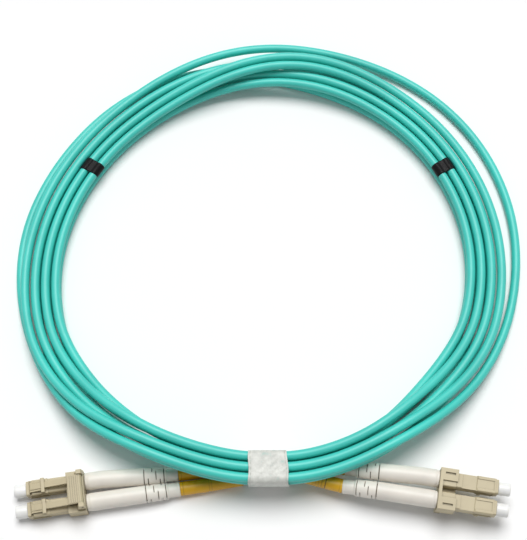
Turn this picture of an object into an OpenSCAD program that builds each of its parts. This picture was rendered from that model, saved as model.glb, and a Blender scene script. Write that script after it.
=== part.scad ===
// Duplex fibre patch cord: two jacketed cables, a two-channel push-pull plug on each end,
// wound into a round coil and held by a tape wrap.  Millimetres, +Z up, the tape wrap's
// underside at the origin.

/* [Cable] */
// Outer diameter of one cable jacket
jacket_d = 2.8; // [2.7:0.05:2.8]
// Centre distance of neighbouring jackets in the coil
jacket_pitch = 3.22; // [3.21:0.01:3.3]
// Radius of the coil, from its centre to the middle of the bundle
coil_r = 69; // [66:0.5:74]

/* [Ends] */
// Distance along X from the tape wrap's middle to the rear of the left plugs
left_reach = 53.8; // [53.6:0.2:57]
// Distance along X from the tape wrap's middle to the rear of the right plugs
right_reach = 49.8; // [49.8:0.2:53]

/* [Plug body] */
// Centre distance of the two channels
channel_pitch = 6.25; // [6.2:0.05:6.6]
// Width and height of the square plug body
body_w = 4.52; // [4.4:0.02:4.6]
// Length from the boot to the front face of the plug body
body_l = 17.2; // [16.7:0.25:19]
// Length of the rear body, which closes the plug body from behind
rear_body_l = 5; // [4.5:0.25:5.5]
// Height of a plug's axis over its flat side's seat
axis_h = 2.82; // [2.8:0.01:3.0]

/* [Ferrule] */
// Diameter of the ceramic ferrule
ferrule_d = 1.25; // [1.2:0.01:1.3]
// Length of ferrule in front of the plug body
ferrule_out = 2.6; // [2:0.1:3]
// Diameter of the flange that holds the ferrule
flange_d = 2.9; // [2.7:0.05:3.0]
// How far the ferrule can be pushed back
ferrule_float = 0.5; // [0.3:0.05:0.7]
// Wire diameter of the ferrule spring
spring_wire = 0.28; // [0.2:0.02:0.32]
// Number of turns of the ferrule spring
spring_turns = 6; // [4:1:7]

/* [Dust cap] */
// Outer diameter of a dust cap
cap_d = 4.0; // [3.6:0.05:4.2]
// Length of a dust cap
cap_l = 3.6; // [3.5:0.1:5]

/* [Latch and clip] */
// Width of the rear part of a latch arm
latch_w = 1.7; // [1.5:0.1:2.4]
// Width of a latch arm at its shoulders
shoulder_w = 4.2; // [3.8:0.1:4.4]
// Thickness of a latch arm
latch_t = 0.75; // [0.6:0.05:0.8]
// Rise of a latch arm, in degrees
latch_rise = 9; // [8.5:0.25:9.25]
// Wall of the duplex clip at its sides
clip_wall = 0.65; // [0.5:0.05:1]
// Length of the duplex clip
clip_l = 5.2; // [5:0.1:6]
// Width of the finger trigger
trigger_w = 8.4; // [7.6:0.1:9]
// Number of grip ribs on the finger trigger
trigger_ribs = 5; // [3:1:6]

/* [Boot] */
// Diameter of a boot
boot_d = 5.3; // [5:0.05:5.5]
// Length of a boot
boot_l = 27.6; // [27:0.1:28.5]
// Diameter of the narrow collar at a boot's end
collar_d = 4.2; // [4.1:0.05:4.4]
// Length of a boot in front of its flexible zone
boot_stiff_l = 17.3; // [16.5:0.25:17.6]
// Length of the flexible zone
flex_l = 6.4; // [6:0.2:7]
// Number of slotted rings in the flexible zone
flex_rings = 5; // [3:1:6]

/* [Markers, bands and tape] */
// Outer diameter of a marker sleeve
sleeve_d = 4.1; // [4:0.02:4.16]
// Length of a marker sleeve on the left legs
left_sleeve_l = 15; // [12:0.5:15.5]
// Length of a marker sleeve on the right legs
right_sleeve_l = 12.5; // [8:0.5:13]
// Length of a band, along the cables
band_l = 4.6; // [3:0.1:6]
// Wall of a band
band_wall = 0.25; // [0.2:0.01:0.3]
// Length of the tape wrap, along the cables
tape_l = 11.6; // [8:0.1:12]
// Thickness of the tape wrap, all its layers together
tape_wall = 0.2; // [0.16:0.02:0.26]

/* [Hidden] */

$fn = 48;
eps = 0.01;
jacket_r = jacket_d / 2;
pitch = jacket_pitch;

// ---------------------------------------------------------------- colours
AQUA = [0.16, 0.72, 0.64];
BEIGE = [0.75, 0.70, 0.57];
WHITE = [0.93, 0.93, 0.91];
YELLOW = [0.86, 0.63, 0.13];

// ---------------------------------------------------------------- ends of the cord
// A plug's own frame has +X along its axis towards the ferrule, +Z towards the latch, the boot
// ends at x = 0 and the flat side seats on z = 0.  An end is [place, heading, upside down].
LEFT = 0;
RIGHT = 1;
module at_end(side) {
  if (side == LEFT) translate(left_place) rotate([0, 0, left_heading]) children();
  else translate(right_place) rotate([0, 0, right_heading]) rotate([180, 0, 0]) children();
}
// Cable a is the inner one at both ends, so its channel changes side with the plug.
module at_channel(side, cable) {
  at_end(side) translate([0, channel_y(cable), 0]) children();
}
function channel_y(cable) = (cable == 0 ? -1 : 1) * channel_pitch / 2;
function turned(p, a) = [p[0] * cos(a) - p[1] * sin(a), p[0] * sin(a) + p[1] * cos(a), p[2]];
function end_point(side, p) = side == LEFT
  ? left_place + turned(p, left_heading)
  : right_place + turned([p[0], -p[1], -p[2]], right_heading);

// ---------------------------------------------------------------- plug parts
fit = 0.05;                         // running clearance, radial
top_h = axis_h + body_w / 2;        // the plug body's latch side
cavity_r = flange_d / 2 + 0.1;
ferrule_r = ferrule_d / 2;
stem_r = 0.75;                      // tube behind the flange, inside the spring
flange_front = body_l - 3.2;        // where the flange rests against the body's front wall
flange_l = 1.4;
spring_back = rear_body_l + 0.6;
spring_front = flange_front - flange_l;
spring_r = cavity_r - 0.12 - spring_wire / 2;
fibre_bore_r = 0.3;
post_r = 1.1;                       // rear body's tail, under the crimp ring
post_l = 4.4;
crimp_r = 1.85;
crimp_l = 5;
jacket_start = crimp_l + 0.1;       // the jacket's end, behind the crimp ring

module along_x(x0, x1) translate([x0, 0, axis_h]) rotate([0, 90, 0]) linear_extrude(x1 - x0) children();
// A round piece along the plug's axis, from x0 to x1.
module rod(x0, x1, r, r1 = 0) translate([x0, 0, axis_h]) rotate([0, 90, 0])
  cylinder(r1 = r, r2 = r1 == 0 ? r : r1, h = x1 - x0);
module bar_profile(w, c) polygon([
  [-w / 2 + c, -w / 2], [w / 2 - c, -w / 2], [w / 2, -w / 2 + c], [w / 2, w / 2 - c],
  [w / 2 - c, w / 2], [-w / 2 + c, w / 2], [-w / 2, w / 2 - c], [-w / 2, -w / 2 + c]
]);

module dust_cap() color(WHITE) {
  x0 = body_l + 0.1;
  rim = 0.25;
  translate([x0, 0, axis_h]) rotate([0, 90, 0]) rotate_extrude() polygon([
    [ferrule_r + fit / 2, 0], [cap_d / 2, 0], [cap_d / 2, cap_l - rim],
    [cap_d / 2 - rim, cap_l], [cap_d / 2 - 3 * rim, cap_l], [cap_d / 2 - 4 * rim, cap_l - rim],
    [0, cap_l - rim], [0, ferrule_out + 0.2], [ferrule_r + fit / 2, ferrule_out + 0.2]
  ]);
}

module ferrule() color("white") {
  chamfer = 0.15;
  translate([0, 0, axis_h]) rotate([0, 90, 0]) rotate_extrude() polygon([
    [0.063, flange_front - flange_l + 0.3], [ferrule_r, flange_front - flange_l + 0.3],
    [ferrule_r, body_l + ferrule_out - chamfer], [ferrule_r - chamfer, body_l + ferrule_out],
    [0.063, body_l + ferrule_out]
  ]);
}

module ferrule_flange() color("silver") difference() {
  translate([0, 0, axis_h]) rotate([0, 90, 0]) rotate_extrude() polygon([
    [fibre_bore_r, spring_back + ferrule_float + 0.4], [stem_r, spring_back + ferrule_float + 0.4],
    [stem_r, flange_front - flange_l], [flange_d / 2, flange_front - flange_l],
    [flange_d / 2, flange_front - 0.3], [flange_d / 2 - 0.3, flange_front],
    [ferrule_r, flange_front], [ferrule_r, flange_front - flange_l + 0.3],
    [fibre_bore_r, flange_front - flange_l + 0.3]
  ]);
  for (k = [0:3]) translate([flange_front - flange_l / 2, 0, axis_h]) rotate([90 * k + 45, 0, 0])
    translate([-flange_l, -0.15, flange_d / 2 - 0.2]) cube([2 * flange_l, 0.3, 1]);
}

// A tube swept through rings that stand on points, each ring square to the path there.
function unit(v) = v / norm(v);
function side_dir(t) = unit(cross([0, 0, 1], t));
function tangent(p, i) = unit(p[min(i + 1, len(p) - 1)] - p[max(i - 1, 0)]);
function ring(c, t, r, n) = let (s = side_dir(t), u = cross(t, s))
  [for (k = [0:n - 1]) let (a = 90 + 360 * k / n) c + r * (cos(a) * s + sin(a) * u)];
module sweep_tube(p, r, n) skin([for (i = [0:len(p) - 1]) each ring(p[i], tangent(p, i), r, n)], n);
// Closed skin over rings of n points each, given one ring after the other.
module skin(points, n) {
  last = len(points) - n;
  walls = [for (i = [0:n:last - n]) for (k = [0:n - 1]) let (j = (k + 1) % n) each [
    [i + k, i + n + j, i + j], [i + k, i + n + k, i + n + j]]];
  caps = [for (k = [1:n - 2]) each [[0, k, k + 1], [last, last + k + 1, last + k]]];
  polyhedron(points, concat(walls, caps), convexity = 10);
}

// The ferrule spring: a compression spring of spring_turns turns, its ends closed square.
module ferrule_spring() color("silver") {
  rings_per_turn = 8;
  steps = spring_turns * rings_per_turn;
  travel = spring_front - spring_back - spring_wire - 2 * fit;
  points = [for (i = [0:steps]) let (a = 360 * i / rings_per_turn)
    [spring_back + spring_wire / 2 + fit + travel * i / steps,
     spring_r * cos(a), axis_h + spring_r * sin(a)]];
  helix_tube(points, spring_wire / 2, 6);
}
// As sweep_tube, with rings set square to a helix that winds round the X axis.
module helix_tube(p, r, n) skin([for (i = [0:len(p) - 1])
  let (out = unit([0, p[i][1], p[i][2] - axis_h]), up = unit(cross(tangent(p, i), out)))
  for (k = [0:n - 1]) let (a = 360 * k / n) p[i] + r * (cos(a) * out + sin(a) * up)], n);

// Latch root: a bead that turns in a groove across the top of the plug body's front.
root_r = 0.4;
root_x = body_l - 1.3;
root_z = top_h - 0.3;
block_x = body_l - 6.4;             // rear end of the full-width front block
neck_x = rear_body_l + 1.6;
step_h = 0.4;

module plug_body() color(BEIGE) difference() {
  union() {
    along_x(rear_body_l, block_x + eps) bar_profile(body_w - 0.3, 0.25);
    along_x(block_x, body_l - 0.8) bar_profile(body_w, 0.25);
    along_x(body_l - 0.8 - eps, body_l) bar_profile(body_w - 0.3, 0.3);
  }
  // ferrule hole, flange and spring cavity
  rod(body_l - 4, body_l + 1, ferrule_r + 0.15);
  rod(rear_body_l - 1, flange_front + fit, cavity_r);
  rod(body_l - 0.7, body_l + 1, 1.3);
  // groove for the latch root
  translate([root_x, body_w, root_z]) rotate([90, 0, 0]) cylinder(r = root_r + fit, h = 2 * body_w);
  // behind the front block the body is lower on the flat side
  translate([neck_x, -body_w, axis_h - body_w / 2 - 1]) cube([block_x - neck_x, 2 * body_w, 1 + step_h]);
  translate([block_x, 0, axis_h - body_w / 2]) rotate([0, 45, 0])
    cube([step_h * sqrt(2), 2 * body_w, step_h * sqrt(2)], center = true);
  // panels on the flat side and on both flanks
  panel_cut(0);
  for (a = [90, -90]) panel_cut(a);
}
module panel_cut(a) translate([0, 0, axis_h]) rotate([a, 0, 0])
  translate([body_l - 1.2 - 5, -1.4, -body_w / 2 - 1]) cube([5, 2.8, 1.22]);

latch_tip_x = 2.4;
function latch_top_at(x) = arm_z(root_x - x) + latch_t;
// The latch arm rises to the rear from its root; its shoulders catch in the socket.
seat = 0.2;
function arm_z(x) = top_h + seat + x * tan(latch_rise);
module latch() color(BEIGE) {
  run = root_x - latch_tip_x;
  step_x = 4.3;
  shoulder_z = arm_z(step_x) + latch_t + 0.15;
  translate([root_x, 0, root_z]) rotate([90, 0, 0]) cylinder(r = root_r, h = 2.9, center = true);
  // arm, from root to tip
  latch_prism([[0.18, root_z], [0.18, arm_z(0) + 0.1], [0, arm_z(0) + latch_t - 0.05],
    [-step_x, arm_z(step_x) + latch_t], [-step_x, arm_z(step_x)],
    [-0.18, arm_z(0)], [-0.18, root_z]], latch_w);
  latch_prism([[-1, arm_z(1)], [-run, arm_z(run)], [-run, arm_z(run) + latch_t - 0.15],
    [-run + 0.3, arm_z(run) + latch_t], [-1, arm_z(1) + latch_t]], latch_w);
  // wide front plate with its shoulders
  latch_prism([[0.05, arm_z(0) - 0.12], [-step_x, arm_z(step_x)], [-step_x, shoulder_z],
    [-step_x + 0.9, shoulder_z], [-step_x + 1.1, arm_z(step_x) + 0.35], [0.05, arm_z(0) + 0.45]], 2.9);
  latch_prism([[-step_x + 1.1, arm_z(step_x) - 0.05], [-step_x, arm_z(step_x)], [-step_x, shoulder_z],
    [-step_x + 0.9, shoulder_z], [-step_x + 1.1, shoulder_z - 0.25]], shoulder_w);
}
module latch_prism(outline, w) translate([root_x, w / 2, 0]) rotate([90, 0, 0]) linear_extrude(w)
  polygon(outline);

// Rear body: closes the plug body, backs the spring and carries the crimp ring on its tail.
module rear_body() color(BEIGE) difference() {
  union() {
    along_x(0, rear_body_l - fit) bar_profile(body_w, 0.25);
    rod(rear_body_l - 1, spring_back - fit, cavity_r - fit);
    rod(-post_l, 1, post_r);
    for (k = [0:3]) rod(-1.2 - 0.9 * k, -0.75 - 0.9 * k, post_r + 0.12);
  }
  rod(-post_l - 1, rear_body_l + 2, 0.6);
  rod(1.2, rear_body_l + 2, stem_r + 0.1);
}

module crimp_ring() color("goldenrod") translate([-crimp_l, 0, axis_h]) rotate([0, 90, 0]) difference() {
  union() {
    cylinder(r = crimp_r, h = crimp_l - 0.1);
    translate([0, 0, crimp_l - 0.6]) cylinder(r = crimp_r + 0.1, h = 0.5);
  }
  translate([0, 0, -1]) cylinder(r = post_r + 0.12 + fit, h = crimp_l + 2);
}

// ---------------------------------------------------------------- boots
bore_r = jacket_r + 0.15;
front_bore_r = jacket_r + 0.4;
ring_step = flex_l / flex_rings;
ring_gap = 0.45;
module boot_front_skin() {
  rod(-boot_stiff_l, -0.8, boot_d / 2 - 0.05, boot_d / 2);
  rod(-0.8 - eps, -0.05, boot_d / 2 - 0.15);
}
module boot_front_hole() {
  rod(-crimp_l - 0.2, 0.8, crimp_r + 0.1 + fit);
  rod(0.6 - boot_stiff_l, 0.6 - crimp_l, front_bore_r);
}
// Behind the stiff length, the slotted rings and the collar stand on an axis of their own.
module boot_rear_skin() translate([0, 0, axis_h]) rotate([0, -90, 0]) {
  translate([0, 0, -0.4]) cylinder(d = collar_d, h = boot_l - boot_stiff_l + 0.4);
  for (k = [0:flex_rings - 1]) translate([0, 0, k * ring_step + ring_gap])
    cylinder(d1 = boot_d - 0.15 - 0.12 * k, d2 = boot_d - 0.2 - 0.12 * k, h = ring_step - ring_gap);
  translate([0, 0, boot_l - boot_stiff_l - 0.7]) cylinder(d = collar_d + 0.16, h = 0.7);
}
module boot_rear_hole() translate([0, 0, axis_h]) rotate([0, -90, 0]) {
  translate([0, 0, -1.1]) cylinder(r = bore_r, h = boot_l);
  // windows between the rings, turned a quarter from one gap to the next
  for (k = [1:flex_rings - 1]) translate([0, 0, k * ring_step + 0.05]) rotate([0, 0, 90 * (k % 2) + 45])
    translate([-boot_d, -0.55, 0]) cube([2 * boot_d, 1.1, ring_gap - 0.1]);
}
module boot(side, cable) color(WHITE) difference() {
  union() {
    at_channel(side, cable) boot_front_skin();
    at_boot_rear(side, cable) boot_rear_skin();
  }
  at_channel(side, cable) boot_front_hole();
  at_boot_rear(side, cable) boot_rear_hole();
}
module at_boot_rear(side, cable) at_channel(side, cable) translate([-boot_stiff_l, 0, axis_h])
  rotate([0, boot_dip[side], boot_yaw[side][cable]]) translate([0, 0, -axis_h]) children();
// Bend of a boot behind its stiff length: towards the latch side, and sideways.
boot_dip = [-2.4, 9.5];
boot_yaw = [[-3.5, 0.9], [-0.9, -0.1]];
// A point at a distance d behind the bend, on the axis of a boot, in the part's frame.
function rear_axis(side, cable, d) = let (y = boot_yaw[side][cable], b = boot_dip[side], run = d * cos(b))
  end_point(side, [-boot_stiff_l - run * cos(y), channel_y(cable) - run * sin(y), axis_h + d * sin(b)]);

// ---------------------------------------------------------------- clip and trigger
clip_w = channel_pitch + body_w + 2 * (clip_wall + fit);
clip_top = top_h + 0.55;
hinge_x = 0.85;
hinge_z = clip_top + 2.35;
module clip() color(BEIGE) difference() {
  union() {
    translate([0.1, -clip_w / 2, 0]) cube([clip_l, clip_w, clip_top]);
    // post behind the trigger's root, between two cheeks that carry its pins
    translate([0.1, -trigger_w / 2, clip_top - eps]) cube([1.5, trigger_w, hinge_z - clip_top]);
    for (s = [-1, 1]) translate([0.1, s * (trigger_w / 2 + 0.1 + cheek_w / 2) - cheek_w / 2, clip_top - eps])
      cheek();
  }
  for (s = [-1, 1]) translate([-1, s * channel_pitch / 2 - body_w / 2 - fit, axis_h - body_w / 2 - fit])
    cube([clip_l + 2, body_w + 2 * fit, body_w + 2 * fit]);
  // open well between the channels, on the flat side, closed by a rim at the rear
  translate([1, -channel_pitch / 2 + 0.6, -1])
    cube([clip_l, channel_pitch - 1.2, 1 + axis_h - body_w / 2 - fit + eps]);
  translate([1, -(channel_pitch - body_w) / 2 - eps, -1])
    cube([clip_l, channel_pitch - body_w + 2 * eps, top_h]);
  // slots in the latch side and in the flat side
  for (s = [-1, 1]) {
    translate([2.2, s * channel_pitch / 2 - 0.9, clip_top - 1]) cube([clip_l - 2.7, 1.8, 2]);
    translate([1.5, s * (clip_w / 2 - 1.5) - 0.35, -1]) cube([clip_l - 2.2, 0.7, 3]);
  }
  // groove for the trigger's root, open to the top
  translate([hinge_x, trigger_w, hinge_z]) rotate([90, 0, 0]) cylinder(r = root_r + fit, h = 2 * trigger_w);
}
trigger_under = clip_top + 2.95;
cheek_w = 1.2;
cheek_top = trigger_under + 1.2;
left_place = [-left_reach, -5.2, 0];
left_heading = 188.3;
right_place = [right_reach, -5.2, cheek_top];
right_heading = -9.3;
module cheek() translate([0, cheek_w, 0]) rotate([90, 0, 0]) linear_extrude(cheek_w) polygon([
  [0, 0], [2.6, 0], [1.9, hinge_z - clip_top], [1.7, cheek_top - clip_top + eps],
  [0.3, cheek_top - clip_top + eps], [0, cheek_top - clip_top - 0.4]
]);
trigger_t = 0.7;
trigger_front = 4.7;
module trigger() color(BEIGE) {
  rib_step = (trigger_front - 1.6) / trigger_ribs;
  translate([hinge_x, 0, hinge_z]) rotate([90, 0, 0])
    cylinder(r = root_r, h = trigger_w + 1.6, center = true);
  translate([0, trigger_w / 2, 0]) rotate([90, 0, 0]) linear_extrude(trigger_w) polygon([
    [hinge_x - 0.3, hinge_z + 0.1], [hinge_x + 0.3, hinge_z + 0.1], [hinge_x + 0.4, trigger_under],
    [trigger_front - 0.3, trigger_under], [trigger_front, trigger_under + 0.25],
    [trigger_front - 0.1, trigger_under + trigger_t], [hinge_x + 0.1, trigger_under + trigger_t],
    [hinge_x - 0.35, trigger_under + trigger_t - 0.4]
  ]);
  // pads that press the latch arms
  pad_x = trigger_front - 1.1;
  pad_z = latch_top_at(pad_x) + 0.12;
  for (s = [-1, 1]) translate([pad_x, s * channel_pitch / 2 - 0.8, pad_z])
    cube([0.8, 1.6, trigger_under + eps - pad_z]);
  for (k = [0:trigger_ribs - 1])
    translate([1.5 + k * rib_step, -trigger_w / 2 + 0.2, trigger_under + trigger_t - eps])
      cube([rib_step * 0.5, trigger_w - 0.4, 0.2]);
}

// ---------------------------------------------------------------- coil
// The four turns start at the tape wrap and wind round the coil's centre.  Two cables run side
// by side as a pair, so a turn is a pair in one of four lanes: inner or outer, low or high.
turns = 4;
low_z = jacket_r;
rings = 24;

function smooth(t) = let (s = max(0, min(1, t))) s * s * (3 - 2 * s);
function fade(x, x0, x1) = smooth((x - x0) / (x1 - x0));
// Distance in degrees from the tape wrap, and direction from the coil's centre.
function off_tape(v) = min(v, 360 - v);
function bearing(v) = v - 90;
function hump(x, x0, x1) = pow(sin(180 * max(0, min(1, (x - x0) / (x1 - x0)))), 2);
// Distance between the inner and the outer pair, wider where the bundle twists.
function lane_gap(v) = 2 * pitch + 0.7 * hump(v, 120, 244);
// Middle of the bundle, as a radius: nearly round, a little wider along one diagonal.
function bundle_r(v) = let (b = bearing(v), open = fade(off_tape(v), 6, 52))
  coil_r + open * (0.6 - 1.12 * cos(b) - 1.02 * sin(b) + 1.4 * cos(2 * b - 63) - 0.7 * sin(3 * b));
// How far a pair has rolled upright near the tape wrap, and the height of the upper pairs.
function roll(v) = 90 * (1 - fade(off_tape(v), 24, 74));
leg_z = 1.9;
return_z = leg_z + pitch;
// Extra rise of the bundle where it crosses over the boots.
boot_rise = 2;
// The last turn runs a little higher over the left marker sleeves than in the tape wrap.
sleeve_rise = 0.8;
function under_z(v) = v > 180
  ? low_z + (return_z + sleeve_rise - low_z) * (1 - fade(360 - v, 25, 60))
    - sleeve_rise * (1 - fade(360 - v, 3, 9))
  : low_z + (leg_z - low_z) * (1 - fade(v, 6, 18));
tape_z = return_z + 5.25;
function over_z(v) = low_z + pitch + (tape_z - low_z - pitch) * (1 - fade(off_tape(v), 28, 84))
  + boot_rise * hump(off_tape(v), 6, 56);

// Quarter twist of the whole bundle, over the side away from the tape wrap.
twist_lift = 2.3;
function twist(v) = fade(v, 138, 226);
function lane_u(lane, t, gap) = [-cos(180 * t), 1, cos(180 * t), -1][lane] * gap / 2;
function lane_z(lane, t) = let (lift = twist_lift * sin(180 * t), half = pitch / 2, mid = low_z + half + lift)
  [low_z, mid - half * cos(180 * t), mid + half + lift, mid + half * cos(180 * t)][lane];

// Centre of turn n's pair at angle v of that turn: [outward offset, height, roll].
function pair_at(n, v) = off_tape(v) > 110
  ? [lane_u(n, twist(v), lane_gap(v)), lane_z(n, twist(v)), 0]
  : near_tape(v < 180 ? n : (n + 1) % turns, v);
function near_tape(lane, v) = let (
    a = roll(v), half = lane_gap(v) / 2, close = a / 90,
    u1 = half + (pitch - half) * close, z2 = over_z(v),
    u2 = u1 - pitch * sin(a), gap3 = 2 * half + (pitch - 2 * half) * close * close)
  [[-half + (half - (v > 180 ? 1.7 : 1)) * (1 - fade(off_tape(v), 5, 30)), under_z(v), 0],
   [u1, z2 - pitch * cos(a), a], [u2, z2, a], [u2 - gap3, z2, a]][lane];
// The outermost jacket stands off from the others: the second turn's on the right side, and the
// first turn's on the left.
function right_stand_off(b) = 5.6 * fade(b, -62, 15) * (1 - fade(b, 44, 140)) + 2.4 * hump(b, -10, 82);
function left_stand_off(b) = 3 * fade(b, 95, 140) * (1 - fade(b, 165, 212));
function stand_off(n, cable, v) = cable == 0 ? 0
  : n == 1 ? right_stand_off(bearing(v))
  : n == 0 ? left_stand_off(bearing(v)) : 0;
// A point of the coil: cable 0 or 1, at angle w counted over all the turns.
function coil_point(cable, w) = let (
    n = min(turns - 1, floor(w / 360)), v = w - 360 * n, c = pair_at(n, v),
    half = (cable == 0 ? -1 : 1) * pitch / 2,
    r = bundle_r(v) + c[0] + half * cos(c[2]) + stand_off(n, cable, v), b = bearing(v))
  [r * cos(b), coil_r + r * sin(b), c[1] + half * sin(c[2])];
// The turns run straight through the tape wrap, with the first and the last ring beside it.
tape_half_angle = asin((tape_l / 2 + 0.6) / coil_r);
function ring_angle(i) = tape_half_angle + (360 - 2 * tape_half_angle) * i / (rings - 1);
coil_angles = concat([0], [for (n = [0:turns - 1]) for (i = [0:rings - 1]) 360 * n + ring_angle(i)],
  [360 * turns]);
function coil_path(cable) = [for (w = coil_angles) coil_point(cable, w)];
module coil(cable) color(AQUA) sweep_tube(coil_path(cable), jacket_r, 6);

// Least gap between any two jackets, point to point, leaving out near points of one jacket.
all_points = [for (cable = [0, 1]) for (i = [0:len(coil_angles) - 1])
  [coil_point(cable, coil_angles[i]), cable * 1000 + i]];
function far_apart(p, q) = abs(p[1] - q[1]) > 3;
least_gap = min([for (i = [0:len(all_points) - 2]) for (j = [i + 1:len(all_points) - 1])
  if (far_apart(all_points[i], all_points[j])) norm(all_points[i][0] - all_points[j][0])]) - jacket_d;
echo(least_gap_between_turns_mm = least_gap);

// ---------------------------------------------------------------- legs
// Free stretches between the boots and the tape wrap; the boot's axis gives the first points.
left_a_route = [[-7.6, 2.6, 1.9], [-5.4, 2.6, 1.9], [-3, 2.6, 1.9]];
left_b_route = [[-7.6, -1.25, 1.9], [-5.4, -0.95, 1.9], [-3, -0.7, 1.9]];
right_a_route = [[3, 3.3, 5.12], [5.6, 3.35, 5.15], [8.4, 3.5, 5.3]];
right_b_route = [[3, 0, 5.12], [5.6, -0.15, 5.15], [8.4, -0.4, 5.3]];
function leg_path(side, cable) = let (
    boot_end = boot_l - boot_stiff_l,
    from_boot = [for (d = [jacket_start, 10]) end_point(side, [-d, channel_y(cable), axis_h])],
    bend = [for (d = [0, boot_end / 2, boot_end]) rear_axis(side, cable, d)],
    route = side == LEFT ? (cable == 0 ? left_a_route : left_b_route)
      : (cable == 0 ? [for (i = [2:-1:0]) right_a_route[i]] : [for (i = [2:-1:0]) right_b_route[i]]),
    last = coil_point(cable, side == LEFT ? 0 : 360 * turns))
  concat(from_boot, bend, route, [last]);
module leg(side, cable) color(AQUA) sweep_tube(leg_path(side, cable), jacket_r, 8);

// Marker sleeve: a stiff tube on the straight stretch that follows the boot.
sleeve_gap = 0.4;
module marker_sleeve(side, cable) color(YELLOW) {
  p = leg_path(side, cable);
  start = p[4];
  way = unit(p[5] - p[4]);
  l = side == LEFT ? left_sleeve_l : right_sleeve_l;
  translate(start + sleeve_gap * way) rotate([0, acos(way[2]), atan2(way[1], way[0])]) difference() {
    union() {
      cylinder(d = sleeve_d - 0.12, h = l);
      for (z = [0, l - 0.8, l * 0.45]) translate([0, 0, z]) cylinder(d = sleeve_d, h = 0.8);
    }
    translate([0, 0, -1]) cylinder(r = jacket_r + fit, h = l + 2);
  }
}

// ---------------------------------------------------------------- bands and tape wrap
// A band holds one pair of jackets side by side, on the straight piece between two rings.
band_ease = 0.08;
module band(n, i) {
  from = [for (cable = [0, 1]) coil_point(cable, 360 * n + ring_angle(i))];
  to = [for (cable = [0, 1]) coil_point(cable, 360 * n + ring_angle(i + 1))];
  ahead = to[0] + to[1] - from[0] - from[1];
  gap = norm(from[1] + to[1] - from[0] - to[0]) / 2;
  color([0.07, 0.07, 0.08]) translate((from[0] + from[1] + to[0] + to[1]) / 4)
    rotate([0, 0, atan2(ahead[1], ahead[0])]) rotate([90, 0, 90])
    translate([0, 0, -band_l / 2]) linear_extrude(band_l) difference() {
      pair_outline(gap, jacket_r + band_ease + band_wall);
      pair_outline(gap, jacket_r + band_ease);
    }
}
module pair_outline(gap, r) {
  for (s = [-1, 1]) translate([s * gap / 2, 0]) circle(r);
  square([gap, 2 * r], center = true);
}
left_band_ring = 15;
right_band_ring = 7;

tape_ease = 0.15;
low_ease = leg_z - jacket_r - tape_wall;
module tape_wrap() color([0.88, 0.9, 0.87]) translate([tape_l / 2, 0, 0]) rotate([90, 0, -90])
  linear_extrude(tape_l) difference() {
    tape_outline(jacket_r + tape_ease + tape_wall, jacket_r + low_ease + tape_wall);
    tape_outline(jacket_r + tape_ease, jacket_r + low_ease);
  }
// Outline round the ten jackets in the wrap, seen along the cables; its X runs along -Y.
tape_sag = coil_r * (1 - cos(tape_half_angle));
module tape_outline(r, low_r) hull() {
  for (s = [-1, 1]) for (z = [-1, 1])
    translate([s * pitch - tape_sag, over_z(0) + z * pitch / 2]) circle(r, $fn = 32);
  for (x = [1.3, -3]) translate([x, leg_z]) circle(low_r, $fn = 32);
  for (x = [0.5, -3.45]) translate([x, return_z]) circle(r, $fn = 32);
}

// ---------------------------------------------------------------- what is drawn
module channel_part(name, side, cable) {
  if (name == "dust_cap") at_channel(side, cable) dust_cap();
  if (name == "ferrule") at_channel(side, cable) ferrule();
  if (name == "ferrule_flange") at_channel(side, cable) ferrule_flange();
  if (name == "spring") at_channel(side, cable) ferrule_spring();
  if (name == "plug_body") at_channel(side, cable) plug_body();
  if (name == "latch") at_channel(side, cable) latch();
  if (name == "rear_body") at_channel(side, cable) rear_body();
  if (name == "crimp_ring") at_channel(side, cable) crimp_ring();
  if (name == "boot") boot(side, cable);
  if (name == "marker_sleeve") marker_sleeve(side, cable);
  if (name == "leg") leg(side, cable);
}
channel_part("dust_cap", LEFT, 0);  // left_a_dust_cap
channel_part("ferrule", LEFT, 0);  // left_a_ferrule
channel_part("ferrule_flange", LEFT, 0);  // left_a_ferrule_flange
channel_part("spring", LEFT, 0);  // left_a_spring
channel_part("plug_body", LEFT, 0);  // left_a_plug_body
channel_part("latch", LEFT, 0);  // left_a_latch
channel_part("rear_body", LEFT, 0);  // left_a_rear_body
channel_part("crimp_ring", LEFT, 0);  // left_a_crimp_ring
channel_part("boot", LEFT, 0);  // left_a_boot
channel_part("marker_sleeve", LEFT, 0);  // left_a_marker_sleeve
channel_part("leg", LEFT, 0);  // left_a_leg
channel_part("dust_cap", LEFT, 1);  // left_b_dust_cap
channel_part("ferrule", LEFT, 1);  // left_b_ferrule
channel_part("ferrule_flange", LEFT, 1);  // left_b_ferrule_flange
channel_part("spring", LEFT, 1);  // left_b_spring
channel_part("plug_body", LEFT, 1);  // left_b_plug_body
channel_part("latch", LEFT, 1);  // left_b_latch
channel_part("rear_body", LEFT, 1);  // left_b_rear_body
channel_part("crimp_ring", LEFT, 1);  // left_b_crimp_ring
channel_part("boot", LEFT, 1);  // left_b_boot
channel_part("marker_sleeve", LEFT, 1);  // left_b_marker_sleeve
channel_part("leg", LEFT, 1);  // left_b_leg
at_end(LEFT) clip();  // left_clip
at_end(LEFT) trigger();  // left_trigger
channel_part("dust_cap", RIGHT, 0);  // right_a_dust_cap
channel_part("ferrule", RIGHT, 0);  // right_a_ferrule
channel_part("ferrule_flange", RIGHT, 0);  // right_a_ferrule_flange
channel_part("spring", RIGHT, 0);  // right_a_spring
channel_part("plug_body", RIGHT, 0);  // right_a_plug_body
channel_part("latch", RIGHT, 0);  // right_a_latch
channel_part("rear_body", RIGHT, 0);  // right_a_rear_body
channel_part("crimp_ring", RIGHT, 0);  // right_a_crimp_ring
channel_part("boot", RIGHT, 0);  // right_a_boot
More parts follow.
